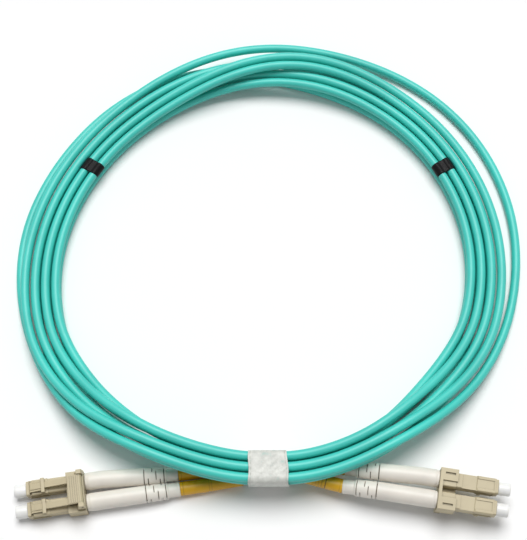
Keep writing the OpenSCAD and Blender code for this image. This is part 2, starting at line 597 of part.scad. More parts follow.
channel_part("marker_sleeve", RIGHT, 0);  // right_a_marker_sleeve
channel_part("leg", RIGHT, 0);  // right_a_leg
channel_part("dust_cap", RIGHT, 1);  // right_b_dust_cap
channel_part("ferrule", RIGHT, 1);  // right_b_ferrule
channel_part("ferrule_flange", RIGHT, 1);  // right_b_ferrule_flange
channel_part("spring", RIGHT, 1);  // right_b_spring
channel_part("plug_body", RIGHT, 1);  // right_b_plug_body
channel_part("latch", RIGHT, 1);  // right_b_latch
channel_part("rear_body", RIGHT, 1);  // right_b_rear_body
channel_part("crimp_ring", RIGHT, 1);  // right_b_crimp_ring
channel_part("boot", RIGHT, 1);  // right_b_boot
channel_part("marker_sleeve", RIGHT, 1);  // right_b_marker_sleeve
channel_part("leg", RIGHT, 1);  // right_b_leg
at_end(RIGHT) clip();  // right_clip
at_end(RIGHT) trigger();  // right_trigger
coil(0);  // cable_a_coil
coil(1);  // cable_b_coil
band(2, left_band_ring);  // left_band
band(3, right_band_ring);  // right_band
tape_wrap();
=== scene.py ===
"""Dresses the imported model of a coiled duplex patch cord: its soft and wound pieces, and their finish."""

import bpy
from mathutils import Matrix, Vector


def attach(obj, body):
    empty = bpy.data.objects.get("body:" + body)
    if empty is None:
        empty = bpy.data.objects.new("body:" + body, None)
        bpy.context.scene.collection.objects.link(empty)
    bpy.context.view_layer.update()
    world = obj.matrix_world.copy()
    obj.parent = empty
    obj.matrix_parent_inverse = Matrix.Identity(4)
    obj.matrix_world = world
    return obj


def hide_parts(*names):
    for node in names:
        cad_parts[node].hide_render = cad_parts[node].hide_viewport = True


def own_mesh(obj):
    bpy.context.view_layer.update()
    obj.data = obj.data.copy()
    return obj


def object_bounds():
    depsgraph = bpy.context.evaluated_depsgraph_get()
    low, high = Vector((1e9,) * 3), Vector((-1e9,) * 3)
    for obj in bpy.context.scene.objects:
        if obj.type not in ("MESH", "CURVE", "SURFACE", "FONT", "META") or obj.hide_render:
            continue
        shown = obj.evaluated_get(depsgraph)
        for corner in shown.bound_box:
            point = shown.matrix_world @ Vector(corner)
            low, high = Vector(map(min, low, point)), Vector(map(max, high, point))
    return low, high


bl_info = {
    "name": "Coiled Patch Cord",
    "version": (1, 0, 0),
    "blender": (4, 5, 0),
    "location": "3D View > Sidebar > Patch Cord",
    "description": "Makes the cables, boots, sleeves, caps, springs, bands and tape of a coiled patch cord",
    "category": "Object",
}

import math

import bpy
import numpy as np
from mathutils import Vector

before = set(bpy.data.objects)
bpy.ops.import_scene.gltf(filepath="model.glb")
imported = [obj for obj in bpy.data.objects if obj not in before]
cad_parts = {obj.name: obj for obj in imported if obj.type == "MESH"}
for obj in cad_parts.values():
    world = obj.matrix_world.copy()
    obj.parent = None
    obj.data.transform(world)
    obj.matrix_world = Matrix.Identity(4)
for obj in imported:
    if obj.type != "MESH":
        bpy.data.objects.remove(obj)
cad_low, cad_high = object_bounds()

MM = 0.001
UPRIGHT = (0.0, 0.0, 1.0)
SIDES = ("left", "right")
CABLES = ("a", "b")
# Each plug's end of the cord, and its cable's number and letter.
CHANNELS = [(side, index, cable) for side in SIDES for index, cable in enumerate(CABLES)]

# ---------------------------------------------------------------- sizes that the pieces share, in millimetres
# The coil. Its centre is at y = COIL_R, and the tape wrap's underside is at the origin.
JACKET_D = 2.8
JACKET_PITCH = 3.22
COIL_R = 69.0
TURNS = 4
TAPE_L = 11.6
# Half of the straight stretch through the tape wrap, as an angle at the coil's centre.
STRAIGHT_ANGLE = math.asin((TAPE_L / 2 + 0.6) / COIL_R)
# Heights of jackets' middles: on the surface, the low pair in the tape wrap, the pair that returns over it,
# and the middle of the upright pairs.
LOW_Z = JACKET_D / 2
LEG_Z = 1.9
RETURN_Z = LEG_Z + JACKET_PITCH
TAPE_Z = RETURN_Z + 5.25
# How far the turns rise to clear the boots, the sleeves, and each other in the twist.
BOOT_RISE = 2.0
SLEEVE_RISE = 0.8
TWIST_LIFT = 2.3

# A plug. Its own frame has +X towards the ferrule, +Z towards the latch, and x = 0 where the boot ends.
CHANNEL_PITCH = 6.25
AXIS_H = 2.82
BODY_L = 17.2
CAP_L = 3.6
CRIMP_END = 5.2  # how far the crimp ring reaches behind the plug
SPRING_BACK = 5.6
SPRING_FRONT = 12.6
SPRING_R = 1.29
SPRING_WIRE = 0.28

# The two ends of the cord: place of a plug's frame, and heading in degrees. The right one lies upside
# down, so its frame is on top.
UPTURNED_Z = 9.78
PLACE = {"left": (-53.8, -5.2, 0.0), "right": (49.8, -5.2, UPTURNED_Z)}
HEADING = {"left": 188.3, "right": -9.3}

# A boot and the marker sleeve behind it. The angles, in degrees, are those of the boot's axis: its rear
# dips and turns aside, and its stiff front leans. Pairs are for cable a and cable b.
BOOT_DIP = {"left": -2.4, "right": 9.5}
BOOT_YAW = {"left": (-3.5, 0.9), "right": (-0.9, -0.1)}
BOOT_LEAN = {"left": (-4.5, 0.0), "right": (-3.6, -0.4)}
BOOT_L = 27.6
BOOT_STIFF_L = 17.3
FLEX_L = 6.4
COLLAR_D = 4.2
SLEEVE_GAP = 0.4
SLEEVE_L = {"left": 15.0, "right": 12.5}
SLEEVE_TAIL = {"left": 3.4, "right": 1.4}  # the thin end that runs on over the jacket, under the coil

# The free stretches between sleeve and tape wrap, from the plug's side to the wrap.
LEG_ROUTE = {
    ("left", 0): ((-7.6, 2.6, 1.9), (-5.4, 2.6, 1.9), (-3.0, 2.6, 1.9)),
    ("left", 1): ((-7.6, -1.25, 1.9), (-5.4, -0.95, 1.9), (-3.0, -0.7, 1.9)),
    ("right", 0): ((8.4, 3.5, 5.3), (5.6, 3.35, 5.15), (3.0, 3.3, 5.12)),
    ("right", 1): ((8.4, -0.4, 5.3), (5.6, -0.15, 5.15), (3.0, 0.0, 5.12)),
}
# A leg's first points lie on its boot's axis, at these distances behind the plug.
LEG_START = (22.6, 25.0, BOOT_L)

# Past so many degrees from the tape wrap, a turn runs in the twisted lanes.
FAR_SIDE = 110
# Degrees from the tape wrap between which the pairs come to their places in it.
UPRIGHT_SPAN = (24, 74)  # the upper pairs turn upright and close up
UPPER_SPAN = (28, 84)  # and rise
BOOT_SPAN = (6, 56)  # with a further rise over the boots
RETURN_SPAN = (25, 60)  # the low pair that returns rises over the left sleeves
DROP_SPAN = (3, 9)  # and comes down past them, into the wrap
LEG_SPAN = (6, 18)  # the low pair that leads on from the left legs rises to their height
UNDER_SPAN = (5, 30)  # both low pairs move under the upper ones
# Angles of a turn between which the bundle twists, and between which it is looser.
TWIST_SPAN = (138, 226)
LOOSE_SPAN = (120, 244)
LOOSENESS = 0.35

# The bundle away from the tape wrap: how much wider it is, its shift in X and Y, an oval swell with its
# phase in degrees, and a three-sided swell.
BUNDLE_SPAN = (6, 52)  # degrees from the tape wrap over which all this sets in
BUNDLE_WIDER = 0.6
BUNDLE_SHIFT = (-1.12, -1.02)
BUNDLE_OVAL = 1.4
BUNDLE_OVAL_PHASE = 63
BUNDLE_TRIANGLE = 0.7
# How far the outermost jacket stands off: right of the bundle, further round, and left of it.
RIGHT_LOOP = 5.6
UPPER_LOOP = 2.4
LEFT_LOOP = 3.0

# A cable's line: distance between its points, reach of their softening in points, and the points that
# there are to one ring of the mesh.
LINE_STEP = 0.5
LINE_SOFTENING = 4
POINTS_PER_RING = 3

# Each band's turn of the coil, and its angle in that turn.
BAND_TURN_ANGLE = {"left": (2, 240.7), "right": (3, 119.2)}
BAND_L = 4.6

# The stage.
LAMP_ENERGY = 2.7
LAMP_ANGLE = math.radians(38)
LAMP_DIRECTION = Vector((-0.03, -0.4, -1.0))
CAMERA_AIM = Vector((-1.3, 65.1, 4.5))
FLOOR_REACH = 3000.0  # half of the side of the square floor
FLOOR_GAP = 0.02  # how far the floor lies under the cord


# ---------------------------------------------------------------- places on the two ends
def turned(points, degrees):
    """Points turned about Z by an angle: x cos - y sin, x sin + y cos."""
    c, s = math.cos(math.radians(degrees)), math.sin(math.radians(degrees))
    x, y, z = points[..., 0], points[..., 1], points[..., 2]
    return np.stack([x * c - y * s, x * s + y * c, z], axis=-1)


def end_points(side, points):
    """Points of a plug's own frame put on their end of the cord. The right end lies upside down, so its Y
    and Z change sign first."""
    points = np.asarray(points, float)
    if side == "right":
        points = points * np.array([1.0, -1.0, -1.0])
    return turned(points, HEADING[side]) + np.array(PLACE[side])


def cable_side(cable):
    """-1 for cable a, which is the inner one of a pair, and 1 for cable b."""
    return -1 if cable == 0 else 1


def axis_points(cable, x):
    """Points on the axis of a cable's plug, in the plug's own frame."""
    x = np.asarray(x, float)[..., None]
    return x * (1, 0, 0) + (0, cable_side(cable) * CHANNEL_PITCH / 2, AXIS_H)


def bend(distance, at, ease=1.2):
    """How far a distance lies past a bend, with a soft start: zero, then a parabola, then a straight
    rise."""
    past = distance - at
    return np.where(past > ease, past, np.where(past < -ease, 0.0, (past + ease) ** 2 / (4 * ease)))


def boot_axis(side, cable, distance):
    """Points on a boot's axis, in the plug's own frame, at distances behind the plug: straight back over
    the crimp ring, leaning a little towards the other boot over the stiff length, and then dipped and
    turned."""
    d = np.asarray(distance, float)

    def way(dip, yaw):
        dip, yaw = math.radians(dip), math.radians(yaw)
        return np.array([-math.cos(dip) * math.cos(yaw), -math.cos(dip) * math.sin(yaw), math.sin(dip)])

    front = way(0, 0)
    stiff = way(0, BOOT_LEAN[side][cable])
    rear = way(BOOT_DIP[side], BOOT_YAW[side][cable])
    start = axis_points(cable, 0.0)
    line = start + d[..., None] * front + bend(d, CRIMP_END)[..., None] * (stiff - front)
    return line + bend(d, BOOT_STIFF_L)[..., None] * (rear - stiff)


# ---------------------------------------------------------------- the coil's lanes
# A turn's angle v runs from 0 to 360 degrees, from the tape wrap anticlockwise round to the tape wrap
# again.
def fade(x, start, end):
    """0 up to a start, 1 from an end, and between them the smooth step t t (3 - 2 t)."""
    t = np.clip((x - start) / (end - start), 0, 1)
    return t * t * (3 - 2 * t)


def hump(x, start, end):
    """A smooth rise and fall between two angles: the square of a half sine."""
    return np.sin(math.pi * np.clip((x - start) / (end - start), 0, 1)) ** 2


def off_tape(v):
    """Degrees between a turn's angle and the tape wrap, whichever way is shorter."""
    return np.minimum(v, 360 - v)


def bundle_radius(v):
    """Middle of the bundle: nearly round, drawn in near the tape wrap, a little wider along one
    diagonal."""
    b = np.radians(v - 90)
    opened = fade(off_tape(v), *BUNDLE_SPAN)
    swell = BUNDLE_OVAL * np.cos(2 * b - math.radians(BUNDLE_OVAL_PHASE)) - BUNDLE_TRIANGLE * np.sin(3 * b)
    shift = BUNDLE_SHIFT[0] * np.cos(b) + BUNDLE_SHIFT[1] * np.sin(b)
    return COIL_R + opened * (BUNDLE_WIDER + shift + swell)


def twisted_lanes(turn, v, half):
    """Outward offset and height of a pair on the side away from the tape wrap. The whole bundle makes a
    quarter twist there, so each pair moves on to the next lane."""
    t = fade(v, *TWIST_SPAN) * math.pi
    lift = TWIST_LIFT * np.sin(t)
    step = JACKET_PITCH / 2
    mid = LOW_Z + step + lift
    offset = np.choose(turn, [-np.cos(t) * half, half, np.cos(t) * half, -half])
    low = np.full_like(t, LOW_Z)
    height = np.choose(turn, [low, mid - step * np.cos(t), mid + step + lift, mid + step * np.cos(t)])
    return offset, height


def wrapped_lanes(lane, v, half):
    """Outward offset, height and roll of a pair near the tape wrap, where the upper three pairs stand
    upright and close up, and the low pair passes under them."""
    off = off_tape(v)
    close = 1 - fade(off, *UPRIGHT_SPAN)
    roll = math.pi / 2 * close
    # The low pair leads on from the left legs at its start. At its end, on the left, it comes back over them
    # and leads into the right legs.
    left_z = LOW_Z + (RETURN_Z + SLEEVE_RISE - LOW_Z) * (1 - fade(off, *RETURN_SPAN))
    left_z = left_z - SLEEVE_RISE * (1 - fade(off, *DROP_SPAN))
    right_z = LOW_Z + (LEG_Z - LOW_Z) * (1 - fade(off, *LEG_SPAN))
    under_z = np.where(v > 180, left_z, right_z)
    over_z = LOW_Z + JACKET_PITCH + (TAPE_Z - LOW_Z - JACKET_PITCH) * (1 - fade(off, *UPPER_SPAN))
    over_z = over_z + BOOT_RISE * hump(off, *BOOT_SPAN)
    under_u = -half + (half - np.where(v > 180, 1.7, 1.0)) * (1 - fade(off, *UNDER_SPAN))
    outer_u = half + (JACKET_PITCH - half) * close
    high_u = outer_u - JACKET_PITCH * np.sin(roll)
    inner_u = high_u - (2 * half + (JACKET_PITCH - 2 * half) * close**2)
    offset = np.choose(lane, [under_u, outer_u, high_u, inner_u])
    height = np.choose(lane, [under_z, over_z - JACKET_PITCH * np.cos(roll), over_z, over_z])
    return offset, height, np.where(lane == 0, 0.0, roll)


def stand_off(turn, cable, v):
    """The outermost jacket stands off: the second turn's on the right side, the first turn's on the
    left."""
    if cable == 0:
        return 0 * v
    b = v - 90
    right = RIGHT_LOOP * fade(b, -62, 15) * (1 - fade(b, 44, 140)) + UPPER_LOOP * hump(b, -10, 82)
    left = LEFT_LOOP * fade(b, 95, 140) * (1 - fade(b, 165, 212))
    return np.where(turn == 1, right, np.where(turn == 0, left, 0))


def coil_point(cable, w):
    """Centre points of one cable in the coil, at angles w counted over all the turns. A turn is a pair of
    jackets in one of four lanes, inner or outer and low or high."""
    w = np.asarray(w, float)
    turn = np.minimum(TURNS - 1, np.floor(w / 360)).astype(int)
    v = w - 360 * turn
    half = JACKET_PITCH + LOOSENESS * hump(v, *LOOSE_SPAN)
    far_offset, far_height = twisted_lanes(turn, v, half)
    near_offset, near_height, roll = wrapped_lanes(np.where(v < 180, turn, (turn + 1) % TURNS), v, half)
    far = off_tape(v) > FAR_SIDE
    roll = np.where(far, 0.0, roll)
    side = cable_side(cable) * JACKET_PITCH / 2
    offset = np.where(far, far_offset, near_offset)
    r = bundle_radius(v) + offset + side * np.cos(roll) + stand_off(turn, cable, v)
    z = np.where(far, far_height, near_height) + side * np.sin(roll)
    bearing = np.radians(v - 90)
    return np.stack([r * np.cos(bearing), COIL_R + r * np.sin(bearing), z], axis=-1)


def piece_lengths(line):
    """Distances between a line's neighbouring points."""
    return np.linalg.norm(np.diff(line, axis=0), axis=1)


def even_steps(points, step):
    """The same line with points at even steps of its length."""
    length = np.concatenate([[0], np.cumsum(piece_lengths(points))])
    count = max(2, int(round(length[-1] / step)) + 1)
    at = np.linspace(0, length[-1], count)
    return np.stack([np.interp(at, length, column) for column in points.T], axis=-1)


def softened(points, reach):
    """Each point becomes a bell-shaped average of its neighbours; the ends stay where they are."""
    pad = 3 * reach
    bell = np.exp(-0.5 * (np.arange(-pad, pad + 1) / reach) ** 2)
    bell /= bell.sum()
    before = 2 * points[0] - points[pad:0:-1]
    after = 2 * points[-1] - points[-2 : -pad - 2 : -1]
    longer = np.concatenate([before, points, after])
    return np.stack([np.convolve(column, bell, mode="valid") for column in longer.T], axis=-1)


def leg_points(side, cable):
    """A leg from inside its boot to where the tape wrap takes it."""
    inside = end_points(side, boot_axis(side, cable, LEG_START))
    last = coil_point(cable, np.array([0.0 if side == "left" else 360.0 * TURNS]))
    return np.concatenate([inside, np.array(LEG_ROUTE[(side, cable)]), last])


def cable_line(cable):
    """Centre line of one whole cable, from the left boot through the coil to the right boot. The turns run
    straight through the tape wrap."""
    beside_tape = math.degrees(STRAIGHT_ANGLE)
    one_turn = np.linspace(beside_tape, 360 - beside_tape, 96)
    coil = coil_point(cable, np.concatenate([one_turn + 360 * turn for turn in range(TURNS)]))
    points = np.concatenate([leg_points("left", cable), coil, leg_points("right", cable)[::-1]])
    return softened(even_steps(points, LINE_STEP), LINE_SOFTENING)[::POINTS_PER_RING]


# ---------------------------------------------------------------- meshes
def mesh_piece(name, vertices, faces, material, dark=None):
    """A mesh object at the origin from points in millimetres, in rows or one after another, and a list of
    faces. dark, from 0 to 1 at each point, becomes the attribute that its material reads: painted shade in
    the boots' slots, and dark lines on the sleeves and the tape."""
    mesh = bpy.data.meshes.new(name)
    mesh.from_pydata((np.reshape(vertices, (-1, 3)) * MM).tolist(), [], faces)
    mesh.polygons.foreach_set("use_smooth", np.full(len(mesh.polygons), True))
    if dark is not None:
        mesh.attributes.new("dark", "FLOAT", "POINT").data.foreach_set("value", np.ravel(dark))
    mesh.materials.append(material)
    mesh.update()
    piece = bpy.data.objects.new(name, mesh)
    bpy.context.collection.objects.link(piece)
    return piece


def grid_faces(rows, columns, close_rows=True):
    """Quads over a grid of rows times columns points, closed round along each row, and round the rows as
    well where close_rows says so."""
    r, c = np.meshgrid(np.arange(rows if close_rows else rows - 1), np.arange(columns), indexing="ij")
    r2, c2 = (r + 1) % rows, (c + 1) % columns
    corners = [r * columns + c, r * columns + c2, r2 * columns + c2, r2 * columns + c]
    return np.stack(corners, axis=-1).reshape(-1, 4).tolist()


def unit(vectors):
    return vectors / np.linalg.norm(vectors, axis=-1, keepdims=True)


def round_angles(around):
    """So many even angles, once round."""
    return np.linspace(0, 2 * math.pi, around, endpoint=False)


def rings(centres, radius, side, up, around):
    """Grid of rings round centres: centre + radius (cos a side + sin a up). The radius is an array of rings
    times angles, or anything that stretches to it, and side and up are one direction for all rings or one
    for each."""
    a = round_angles(around)[:, None]
    ring = np.cos(a) * np.atleast_2d(side)[:, None, :] + np.sin(a) * np.atleast_2d(up)[:, None, :]
    radius = np.broadcast_to(radius, (len(centres), around))
    return centres[:, None, :] + radius[..., None] * ring


def swept(line, radius, around):
    """Grid of a round surface along a line that is nowhere upright. Its rings stand square to the line,
    with their side direction level."""
    along = unit(np.gradient(line, axis=0))
    side = unit(np.cross(UPRIGHT, along))
    return rings(line, radius, side, np.cross(along, side), around)


def tube_faces(rows, around):
    """Quads along a tube of rows rings, and a flat face on each end."""
    faces = grid_faces(rows, around, close_rows=False)
    last = (rows - 1) * around
    return faces + [list(range(around))[::-1], list(range(last, last + around))]


# ---------------------------------------------------------------- materials
# Noise scales are in features per metre. Bump distances, edge radii and reaches are in metres.
def set_inputs(node, **values):
    """Constants for a node's sockets, whose names have _ for a space."""
    for key, value in values.items():
        node.inputs[key.replace("_", " ")].default_value = value


def add_node(owner, kind, **values):
    """A new node with its own settings and the constants of its sockets."""
    node = owner.node_tree.nodes.new(kind)
    for key, value in values.items():
        if key in node.bl_rna.properties:
            setattr(node, key, value)
        else:
            set_inputs(node, **{key: value})
    return node


def link(owner, source, target):
    owner.node_tree.links.new(source, target)


def shader_of(material):
    return material.node_tree.nodes["Principled BSDF"]


def new_material(name, colour, roughness, **inputs):
    """A material whose constants stand on the shader's own sockets."""
    material = bpy.data.materials.new(name)
    material.use_nodes = True
    set_inputs(shader_of(material), Base_Color=(*colour, 1), Roughness=roughness, **inputs)
    return material


def object_noise(material, scale, detail=2.0, stretch=(1, 1, 1)):
    """Noise on object coordinates."""
    place = add_node(material, "ShaderNodeTexCoord")
    mapping = add_node(material, "ShaderNodeMapping", Scale=stretch)
    noise = add_node(material, "ShaderNodeTexNoise", Scale=scale, Detail=detail)
    link(material, place.outputs["Object"], mapping.inputs["Vector"])
    link(material, mapping.outputs["Vector"], noise.inputs["Vector"])
    return noise


def vary_colour(material, noise, colours, stops=(0.3, 0.7)):
    """Base colour from a noise, through colours spread evenly between two of its levels."""
    ramp = add_node(material, "ShaderNodeValToRGB")
    elements = ramp.color_ramp.elements
    while len(elements) < len(colours):
        elements.new(0.5)
    for element, stop, colour in zip(elements, np.linspace(*stops, len(colours)), colours):
        element.position = stop
        element.color = (*colour, 1)
    link(material, noise.outputs["Fac"], ramp.inputs["Fac"])
    link(material, ramp.outputs["Color"], shader_of(material).inputs["Base Color"])


def vary_roughness(material, noise, low, high):
    spread = add_node(material, "ShaderNodeMapRange", To_Min=low, To_Max=high)
    link(material, noise.outputs["Fac"], spread.inputs["Value"])
    link(material, spread.outputs["Result"], shader_of(material).inputs["Roughness"])


def add_bump(material, noise, strength, distance, edge=0.0):
    """Bump from a noise, over softened edges where edge is a radius."""
    bump = add_node(material, "ShaderNodeBump", Strength=strength, Distance=distance)
    link(material, noise.outputs["Fac"], bump.inputs["Height"])
    if edge:
        bevel = add_node(material, "ShaderNodeBevel", samples=6, Radius=edge)
        link(material, bevel.outputs["Normal"], bump.inputs["Normal"])
    link(material, bump.outputs["Normal"], shader_of(material).inputs["Normal"])


def mix_over(material, factor, colour):
    """Mixes a colour over the base colour by a factor."""
    base = shader_of(material).inputs["Base Color"]
    below = base.links[0].from_socket
    mix = add_node(material, "ShaderNodeMix", data_type="RGBA")
    first, second = [socket for socket in mix.inputs if socket.type == "RGBA"]
    mixed = next(socket for socket in mix.outputs if socket.type == "RGBA")
    second.default_value = (*colour, 1)
    link(material, factor, mix.inputs["Factor"])
    link(material, below, first)
    link(material, mixed, base)


def paint_shade_and_dark_lines(material, colour):
    """The piece's dark attribute mixes a colour over the base colour: painted shade in the boots' slots, and
    dark lines on the sleeves and the tape.
    """
    attribute = add_node(material, "ShaderNodeAttribute", attribute_name="dark")
    mix_over(material, attribute.outputs["Fac"], colour)


def paint_edge_highlights(material, colour, radius):
    """Painted highlights on edges, where the normal turns within a radius and leaves the rounded normal
    behind.
    """
    rounded = add_node(material, "ShaderNodeBevel", samples=6, Radius=radius)
    flat = add_node(material, "ShaderNodeNewGeometry")
    agree = add_node(material, "ShaderNodeVectorMath", operation="DOT_PRODUCT")
    link(material, rounded.outputs["Normal"], agree.inputs[0])
    link(material, flat.outputs["Normal"], agree.inputs[1])
    painted_highlight = add_node(material, "ShaderNodeMapRange", From_Min=0.98, From_Max=0.75, To_Max=0.7)
    link(material, agree.outputs["Value"], painted_highlight.inputs["Value"])
    mix_over(material, painted_highlight.outputs["Result"], colour)


def paint_corner_shade(material, colour, reach):
    """Painted shade in the inner corners, up to a reach, from the ambient occlusion."""
    open_sky = add_node(material, "ShaderNodeAmbientOcclusion", samples=8, Distance=reach)
    depth = add_node(material, "ShaderNodeMapRange", From_Min=0.95, From_Max=0.35, To_Max=0.75)
    link(material, open_sky.outputs["AO"], depth.inputs["Value"])
    mix_over(material, depth.outputs["Result"], colour)


def tones(colour, *factors):
    """A colour made darker or lighter by factors."""
    return [tuple(min(1.0, c * factor) for c in colour) for factor in factors]


def once(name, make, *arguments):
    """The material of that name, made on first use."""
    return bpy.data.materials.get(name) or make(name, *arguments)


def jacket_material(name, colour):
    """Smooth extruded jacket with a satin surface and a slow drift of tone."""
    material = new_material(name, colour, 0.46, Specular_IOR_Level=0.65)
    drift = object_noise(material, scale=45, detail=3)
    vary_colour(material, drift, tones(colour, 0.9, 1, 1.08))
    grain = object_noise(material, scale=2600)
    vary_roughness(material, grain, low=0.39, high=0.5)
    add_bump(material, grain, strength=0.25, distance=0.00003)
    return material


def moulded_material(name, colour, roughness, grain_scale, edge=0.0):
    """Moulded plastic: fine grain, faint flow marks, and softened edges where edge is a radius."""
    material = new_material(name, colour, roughness)
    flow = object_noise(material, scale=160, detail=3)
    vary_colour(material, flow, tones(colour, 0.94, 1, 1.05))
    grain = object_noise(material, grain_scale)
    vary_roughness(material, grain, roughness - 0.06, roughness + 0.08)
    add_bump(material, grain, strength=0.2, distance=0.00004, edge=edge)
    return material


def plug_material(name, colour):
    """Beige moulded plastic, with painted shade in the corners and painted highlights along the edges."""
    material = moulded_material(name, colour, roughness=0.48, grain_scale=3500, edge=0.00009)
    # Colours of the painted shade in the corners and of the painted highlights along the edges.
    painted_shade, painted_highlight = tones(colour, 0.42, 1.3)
    paint_corner_shade(material, painted_shade, reach=0.0009)
    paint_edge_highlights(material, painted_highlight, radius=0.00022)
    return material


def boot_material(name, colour):
    """Soft white rubber-like boot with painted shade in its slots."""
    material = moulded_material(name, colour, roughness=0.42, grain_scale=2200)
    # Painted shade: this brown darkens the insides of the slots.
    paint_shade_and_dark_lines(material, (0.13, 0.105, 0.07))
    set_inputs(shader_of(material), Subsurface_Weight=0.08, Subsurface_Radius=(0.0008, 0.0007, 0.0006))
    return material


def cap_material(name, colour):
    """Cloudy white cap plastic."""
    material = moulded_material(name, colour, roughness=0.32, grain_scale=2400)
    set_inputs(shader_of(material), Subsurface_Weight=0.3, Subsurface_Radius=(0.0015, 0.0015, 0.0013))
    return material


def marker_material(name, colour):
    """Golden sleeve, semi-gloss, with a slow drift of tone and dark ring lines."""
    material = new_material(name, colour, 0.4)
    drift = object_noise(material, scale=220)
    vary_colour(material, drift, tones(colour, 0.85, 1, 1.1))
    grain = object_noise(material, scale=2600)
    vary_roughness(material, grain, low=0.34, high=0.5)
    add_bump(material, grain, strength=0.2, distance=0.00004)
    paint_shade_and_dark_lines(material, (0.03, 0.02, 0.005))
    return material


def metal_material(name, colour, roughness):
    """Metal brushed along X."""
    material = new_material(name, colour, roughness, Metallic=1.0)
    brushed = object_noise(material, scale=900, detail=3, stretch=(0.2, 1, 1))
    vary_colour(material, brushed, tones(colour, 0.88, 1.08))
    vary_roughness(material, brushed, roughness - 0.06, roughness + 0.1)
    add_bump(material, brushed, strength=0.15, distance=0.00002)
    return material


def ceramic_material(name, colour):
    """Polished white ceramic."""
    material = new_material(name, colour, 0.16, Coat_Weight=0.3)
    drift = object_noise(material, scale=300)
    vary_colour(material, drift, tones(colour, 0.97, 1))
    grain = object_noise(material, scale=4000)
    add_bump(material, grain, strength=0.08, distance=0.00002)
    return material


def band_material(name, colour):
    """Black shrunk band with a broken gloss."""
    material = new_material(name, colour, 0.3, Specular_IOR_Level=0.12)
    crease = object_noise(material, scale=1500, detail=4)
    vary_colour(material, crease, tones(colour, 0.6, 1))
    vary_roughness(material, crease, low=0.18, high=0.5)
    add_bump(material, crease, strength=0.6, distance=0.00012)
    return material


def tape_material(name, colour, tint):
    """Whitish crinkled tape, blotched where it clings and where it lifts; the jackets under it tint it."""
    material = new_material(name, colour, 0.42)
    cloud = object_noise(material, scale=430, detail=6)
    vary_colour(material, cloud, [tint, *tones(colour, 0.9, 1, 1.1)], stops=(0.3, 0.66))
    crinkle = object_noise(material, scale=1500, detail=5)
    vary_roughness(material, crinkle, low=0.3, high=0.6)
    add_bump(material, crinkle, strength=0.6, distance=0.00016)
    paint_shade_and_dark_lines(material, (0.27, 0.27, 0.23))
    return material


def seen_rays(owner):
    """1 for rays from the camera, a reflection or a clear body, and 0 for the others."""
    path = add_node(owner, "ShaderNodeLightPath")
    counted = path.outputs["Is Camera Ray"]
    for ray in ("Is Glossy Ray", "Is Transmission Ray"):
        either = add_node(owner, "ShaderNodeMath", operation="MAXIMUM")
        link(owner, counted, either.inputs[0])
        link(owner, path.outputs[ray], either.inputs[1])
        counted = either.outputs[0]
    return counted


def floor_material(name, colour, glow):
    """Plain white surface. To the camera, and in reflections, it glows a little as well, so that its white
    is clean and only the object's own soft shadow darkens it."""
    material = new_material(name, colour, 0.85, Specular_IOR_Level=0.1)
    drift = object_noise(material, scale=3)
    vary_colour(material, drift, tones(colour, 0.995, 1))
    strength = add_node(material, "ShaderNodeMath", operation="MULTIPLY")
    strength.inputs[1].default_value = glow
    link(material, seen_rays(material), strength.inputs[0])
    light = add_node(material, "ShaderNodeEmission", Color=(1, 1, 1, 1))
    link(material, strength.outputs[0], light.inputs["Strength"])
    both = add_node(material, "ShaderNodeAddShader")
    link(material, shader_of(material).outputs["BSDF"], both.inputs[0])
    link(material, light.outputs["Emission"], both.inputs[1])
    link(material, both.outputs["Shader"], material.node_tree.nodes["Material Output"].inputs["Surface"])
    return material


def studio_world(name, fill):
    """Even white light from all round at strength fill. To the camera, and in reflections, it is plain
    white."""
    world = bpy.data.worlds.new(name)
    world.use_nodes = True
    background = world.node_tree.nodes["Background"]
    set_inputs(background, Color=(1, 1, 1, 1))
    strength = add_node(world, "ShaderNodeMapRange", To_Min=fill, To_Max=1.0)
    link(world, seen_rays(world), strength.inputs["Value"])
    link(world, strength.outputs["Result"], background.inputs["Strength"])
    return world


def give(node, material):
    """Puts a material on every slot of a CAD node."""
    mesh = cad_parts[node].data
    mesh.materials.clear()
    mesh.materials.append(material)


# ---------------------------------------------------------------- settings
COLOUR = {"subtype": "COLOR", "min": 0, "max": 1}


class CordSettings(bpy.types.PropertyGroup):
    colour: bpy.props.FloatVectorProperty(
        name="Jacket Colour", description="Colour of the cable jackets",
        default=(0.045, 0.58, 0.505), **COLOUR,
    )
    diameter: bpy.props.FloatProperty(
        name="Jacket Diameter", description="Outer diameter of one jacket", unit="LENGTH",
        default=JACKET_D * MM, min=0.0027, max=0.0029,
    )
    around: bpy.props.IntProperty(
        name="Sides", description="Faces round a jacket", default=16, min=12, max=24
    )


class PlugSettings(bpy.types.PropertyGroup):
    colour: bpy.props.FloatVectorProperty(
        name="Plug Colour", description="Colour of the moulded plug parts",
        default=(0.51, 0.44, 0.285), **COLOUR,
    )
    cap_colour: bpy.props.FloatVectorProperty(
        name="Cap Colour", description="Colour of the dust caps",
        default=(0.86, 0.86, 0.84), **COLOUR,
    )


class BootSettings(bpy.types.PropertyGroup):
    colour: bpy.props.FloatVectorProperty(
        name="Boot Colour", description="Colour of the boots",
        default=(0.79, 0.745, 0.675), **COLOUR,
    )
    diameter: bpy.props.FloatProperty(
        name="Boot Diameter", description="Diameter at the plug", unit="LENGTH",
        default=0.0053, min=0.005, max=0.0055,
    )
    slots: bpy.props.IntProperty(
        name="Slots", description="Slots in the flexible zone", default=6, min=3, max=7
    )


class MarkerSettings(bpy.types.PropertyGroup):
    colour: bpy.props.FloatVectorProperty(
        name="Sleeve Colour", description="Colour of the marker sleeves",
        default=(0.68, 0.37, 0.004), **COLOUR,
    )
    diameter: bpy.props.FloatProperty(
        name="Sleeve Diameter", description="Outer diameter of a marker sleeve", unit="LENGTH",
        default=0.0041, min=0.0039, max=0.0043,
    )


